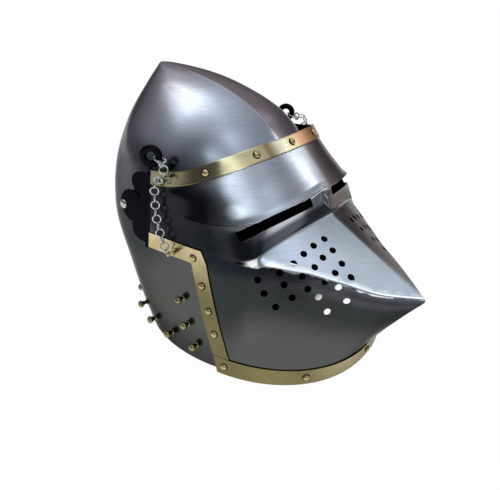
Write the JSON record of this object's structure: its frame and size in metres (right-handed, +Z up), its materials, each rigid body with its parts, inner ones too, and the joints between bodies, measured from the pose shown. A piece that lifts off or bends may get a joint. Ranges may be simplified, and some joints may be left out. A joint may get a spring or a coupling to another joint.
{
  "type": "bascinet helmet",
  "caption": "Pointed steel bascinet with a lifting snouted visor bound in brass, side hinges with ring pins on chains, and turned studs along the rim.",
  "frame": {"origin": "centre of the bounding box in X and Y, on the flat rim plane (lowest point)", "axes": "+Z up, -Y towards the snout, +Y towards the back of the head, +X towards the wearer's left"},
  "size_m": [0.2374, 0.3418, 0.245],
  "materials": {
    "polished_steel": "polished with a fine brushed grain",
    "polished_brass": "polished",
    "blackened_steel": "satin black",
    "bright_chain": "bright"
  },
  "bodies": {
    "skull": {"skull": "polished_steel", "pivot_rivet_R": "polished_steel", "pivot_rivet_L": "polished_steel", "pivot_washer_R": "polished_steel", "pivot_washer_L": "polished_steel", "vervelle_1_R": "polished_brass", "vervelle_2_R": "polished_brass", "vervelle_3_R": "polished_brass", "vervelle_4_R": "polished_brass", "vervelle_5_R": "polished_brass", "vervelle_6_R": "polished_brass", "vervelle_7_R": "polished_brass", "vervelle_8_R": "polished_brass", "vervelle_1_L": "polished_brass", "vervelle_2_L": "polished_brass", "vervelle_3_L": "polished_brass", "vervelle_4_L": "polished_brass", "vervelle_5_L": "polished_brass", "vervelle_6_L": "polished_brass", "vervelle_7_L": "polished_brass", "vervelle_8_L": "polished_brass", "vervelle_back": "polished_brass"},
    "visor": {"visor": "polished_steel", "visor_top_band": "polished_brass", "visor_bottom_band": "polished_brass", "side_trim_R": "polished_brass", "side_trim_L": "polished_brass", "rivet_top_1_M": "polished_brass", "rivet_top_2_R": "polished_brass", "rivet_top_2_L": "polished_brass", "rivet_top_3_R": "polished_brass", "rivet_top_3_L": "polished_brass", "rivet_rim_1_M": "polished_brass", "rivet_rim_2_R": "polished_brass", "rivet_rim_2_L": "polished_brass", "rivet_rim_3_R": "polished_brass", "rivet_rim_3_L": "polished_brass", "rivet_side_1_R": "polished_brass", "rivet_side_1_L": "polished_brass", "rivet_side_2_R": "polished_brass", "rivet_side_2_L": "polished_brass", "rivet_side_3_R": "polished_brass", "rivet_side_3_L": "polished_brass", "rivet_side_4_R": "polished_brass", "rivet_side_4_L": "polished_brass", "staple_top_R": "polished_brass", "staple_low_R": "polished_brass", "staple_top_L": "polished_brass", "staple_low_L": "polished_brass", "pivot_leaf_R": "blackened_steel", "visor_leaf_R": "blackened_steel", "chain_R": "bright_chain", "pivot_leaf_L": "blackened_steel", "visor_leaf_L": "blackened_steel", "chain_L": "bright_chain"},
    "pin_R": {"hinge_pin_R": "blackened_steel"},
    "pin_L": {"hinge_pin_L": "blackened_steel"}
  },
  "joints": [
    {"name": "visor_lift", "type": "hinge", "parent": "skull", "child": "visor", "pos_m": [0, 0.1001, 0.131], "axis": [-1, 0, 0], "range_deg": [0, 75]},
    {"name": "pin_draw_R", "type": "slide", "parent": "visor", "child": "pin_R", "axis": [0, -0.0929, 0.9957], "range_m": [0, 0.078], "deforming": ["chain_R"]},
    {"name": "pin_draw_L", "type": "slide", "parent": "visor", "child": "pin_L", "axis": [0, -0.0929, 0.9957], "range_m": [0, 0.078], "deforming": ["chain_L"]}
  ]
}
